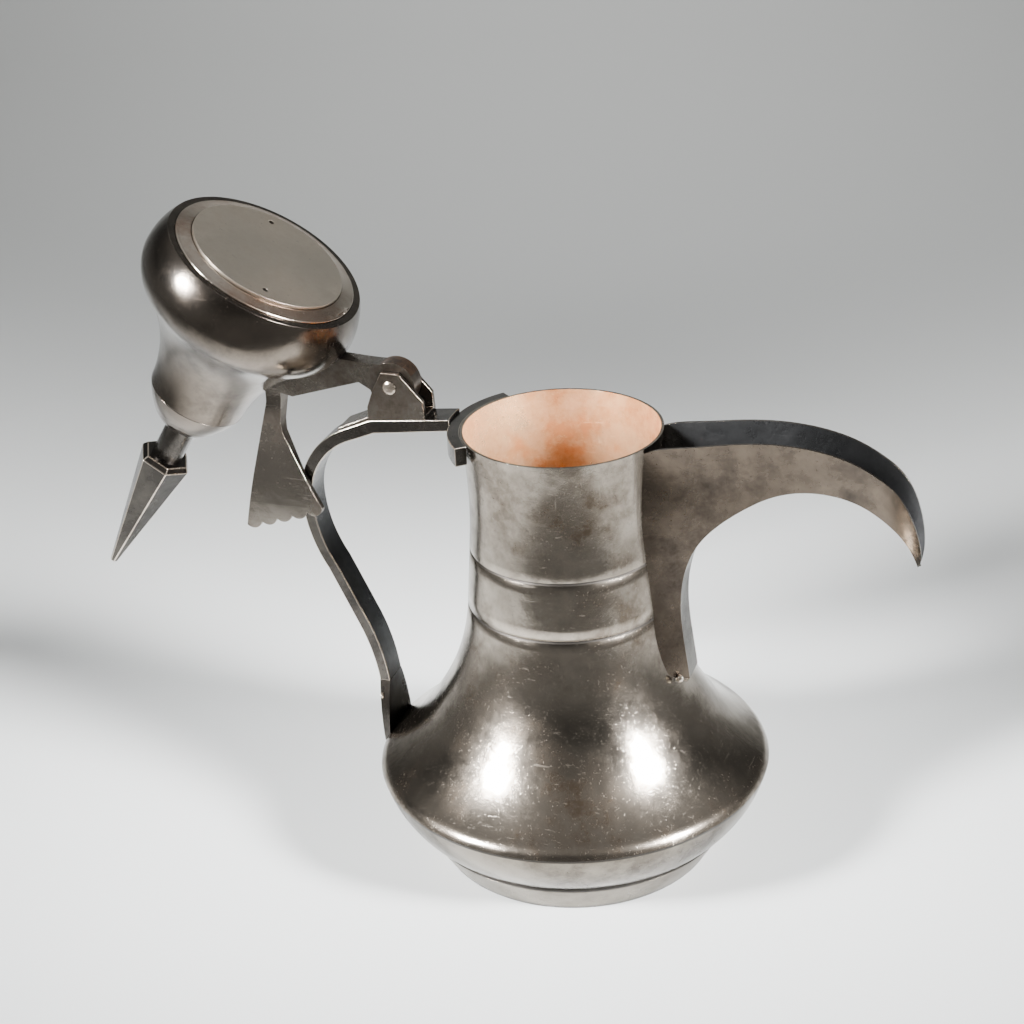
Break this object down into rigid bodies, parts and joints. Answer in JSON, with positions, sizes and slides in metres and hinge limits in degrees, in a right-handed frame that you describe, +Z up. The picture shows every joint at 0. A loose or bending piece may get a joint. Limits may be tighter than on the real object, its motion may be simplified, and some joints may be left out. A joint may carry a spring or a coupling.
{
  "type": "dallah coffee pot",
  "caption": "Tall-spouted metal coffee pot with a bellied body, open beak spout, flat bar handle and a hinged hollow lid with a pointed finial, shown turned back.",
  "frame": {"origin": "on the pot's vertical axis, in the plane the foot ring stands on", "axes": "+Z up along the pot's axis, +X towards the spout, -X towards the handle and the hinge, Y along the hinge pin (+Y is the pot's left side, seen along +X)"},
  "size_m": [0.2809, 0.13, 0.215],
  "materials": {
    "tarnished_silver": "tarnished silver plate, satin, mottled grey-brown",
    "copper_inside": "tarnished silver plate outside, worn to bright copper inside the mouth",
    "dark_fittings": "darker tarnish with bright worn edges",
    "spout_sheet": "tarnished silver plate outside, blackened inside, bright edge",
    "lid_underside": "matt warm grey with a bright copper-tinted step",
    "hinge_metal": "worn plate with copper showing on the knuckle"
  },
  "bodies": {
    "pot": {"base_plate": "tarnished_silver", "foot_ring": "tarnished_silver", "foot_wire": "tarnished_silver", "lower_bowl": "tarnished_silver", "shoulder": "tarnished_silver", "neck_band": "tarnished_silver", "neck_tube": "copper_inside", "rim_collar": "dark_fittings", "handle": "dark_fittings", "handle_foot": "dark_fittings", "hinge_bracket": "dark_fittings", "hinge_pin": "hinge_metal", "spout_cheek_left": "spout_sheet", "spout_cheek_right": "spout_sheet", "spout_sole": "spout_sheet", "spout_toe": "spout_sheet"},
    "lid": {"lid_dome": "tarnished_silver", "lid_crown": "tarnished_silver", "lid_disc": "lid_underside", "lid_ring": "lid_underside", "finial_stem": "tarnished_silver", "finial_spike": "tarnished_silver", "lid_arm": "hinge_metal", "thumb_piece": "hinge_metal"}
  },
  "joints": [
    {"name": "lid_hinge", "type": "hinge", "parent": "pot", "child": "lid", "pos_m": [-0.0549, 0, 0.1598], "axis": [0, 1, 0], "range_deg": [0, 148]}
  ]
}
